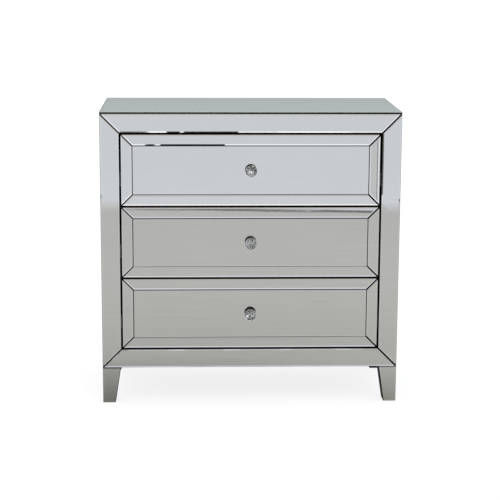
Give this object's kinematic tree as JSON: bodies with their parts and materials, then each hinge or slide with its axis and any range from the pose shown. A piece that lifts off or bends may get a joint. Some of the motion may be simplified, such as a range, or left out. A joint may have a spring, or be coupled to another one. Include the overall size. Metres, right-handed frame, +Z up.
{
  "type": "mirrored chest of drawers",
  "caption": "Straight-sided chest of drawers clad in bevelled mirror glass, with inset drawers, faceted crystal knobs and tapered legs.",
  "frame": {"origin": "on the floor, under the middle of the chest's bounding box", "axes": "+X to the right of someone who faces the chest, +Y from the drawer fronts to the back, +Z up; the drawers slide out along -Y"},
  "size_m": [0.8, 0.41, 0.795],
  "materials": {
    "mirror_glass": "silvered float glass with ground bevels",
    "crystal": "clear polished crystal, faceted",
    "knob_chrome": "polished",
    "black_lacquer": "black lacquered fibreboard",
    "drawer_box": "black laminated fibreboard",
    "drawer_bottom": "dark grey lined hardboard",
    "back_panel": "dark brown hardboard",
    "raw_board": "unpainted fibreboard",
    "runner_steel": "zinc plated",
    "cage_steel": "bright steel",
    "fastener_steel": "zinc plated",
    "glide_felt": "felt pad"
  },
  "bodies": {
    "carcass": {"back_board": "back_panel", "bottom_board": "black_lacquer", "cabinet_runners": "runner_steel", "divider_rails": "black_lacquer", "face_frame_rails": "black_lacquer", "face_frame_stiles": "black_lacquer", "foot_glides": "glide_felt", "front_leg_mirrors": "mirror_glass", "front_mirror_bottom": "mirror_glass", "front_mirror_left": "mirror_glass", "front_mirror_right": "mirror_glass", "front_mirror_top": "mirror_glass", "left_front_leg": "black_lacquer", "left_side_board": "black_lacquer", "left_side_mirror": "mirror_glass", "leg_bolts": "fastener_steel", "rear_leg_mirrors": "mirror_glass", "rear_legs": "black_lacquer", "right_front_leg": "black_lacquer", "right_side_board": "black_lacquer", "right_side_mirror": "mirror_glass", "runner_packers": "raw_board", "top_board": "black_lacquer", "top_mirror": "mirror_glass"},
    "drawer_1": {"drawer_1_back": "drawer_box", "drawer_1_border_mirrors": "mirror_glass", "drawer_1_bottom": "drawer_bottom", "drawer_1_centre_mirror": "mirror_glass", "drawer_1_front_board": "black_lacquer", "drawer_1_knob_base": "knob_chrome", "drawer_1_knob_crystal": "crystal", "drawer_1_knob_screw": "fastener_steel", "drawer_1_left_side": "drawer_box", "drawer_1_right_side": "drawer_box", "drawer_1_runners": "runner_steel"},
    "cages_1": {"drawer_1_ball_cages": "cage_steel"},
    "drawer_2": {"drawer_2_back": "drawer_box", "drawer_2_border_mirrors": "mirror_glass", "drawer_2_bottom": "drawer_bottom", "drawer_2_centre_mirror": "mirror_glass", "drawer_2_front_board": "black_lacquer", "drawer_2_knob_base": "knob_chrome", "drawer_2_knob_crystal": "crystal", "drawer_2_knob_screw": "fastener_steel", "drawer_2_left_side": "drawer_box", "drawer_2_right_side": "drawer_box", "drawer_2_runners": "runner_steel"},
    "cages_2": {"drawer_2_ball_cages": "cage_steel"},
    "drawer_3": {"drawer_3_back": "drawer_box", "drawer_3_border_mirrors": "mirror_glass", "drawer_3_bottom": "drawer_bottom", "drawer_3_centre_mirror": "mirror_glass", "drawer_3_front_board": "black_lacquer", "drawer_3_knob_base": "knob_chrome", "drawer_3_knob_crystal": "crystal", "drawer_3_knob_screw": "fastener_steel", "drawer_3_left_side": "drawer_box", "drawer_3_right_side": "drawer_box", "drawer_3_runners": "runner_steel"},
    "cages_3": {"drawer_3_ball_cages": "cage_steel"}
  },
  "joints": [
    {"name": "drawer_1_slide", "type": "slide", "parent": "carcass", "child": "drawer_1", "axis": [0, -1, 0], "range_m": [0, 0.22]},
    {"name": "cages_1_slide", "type": "slide", "parent": "carcass", "child": "cages_1", "axis": [0, -1, 0], "range_m": [0, 0.11]},
    {"name": "drawer_2_slide", "type": "slide", "parent": "carcass", "child": "drawer_2", "axis": [0, -1, 0], "range_m": [0, 0.22]},
    {"name": "cages_2_slide", "type": "slide", "parent": "carcass", "child": "cages_2", "axis": [0, -1, 0], "range_m": [0, 0.11]},
    {"name": "drawer_3_slide", "type": "slide", "parent": "carcass", "child": "drawer_3", "axis": [0, -1, 0], "range_m": [0, 0.22]},
    {"name": "cages_3_slide", "type": "slide", "parent": "carcass", "child": "cages_3", "axis": [0, -1, 0], "range_m": [0, 0.11]}
  ],
  "couplings": [
    {"joint": "cages_1_slide", "follows": "drawer_1_slide", "ratio": 0.5},
    {"joint": "cages_2_slide", "follows": "drawer_2_slide", "ratio": 0.5},
    {"joint": "cages_3_slide", "follows": "drawer_3_slide", "ratio": 0.5}
  ]
}
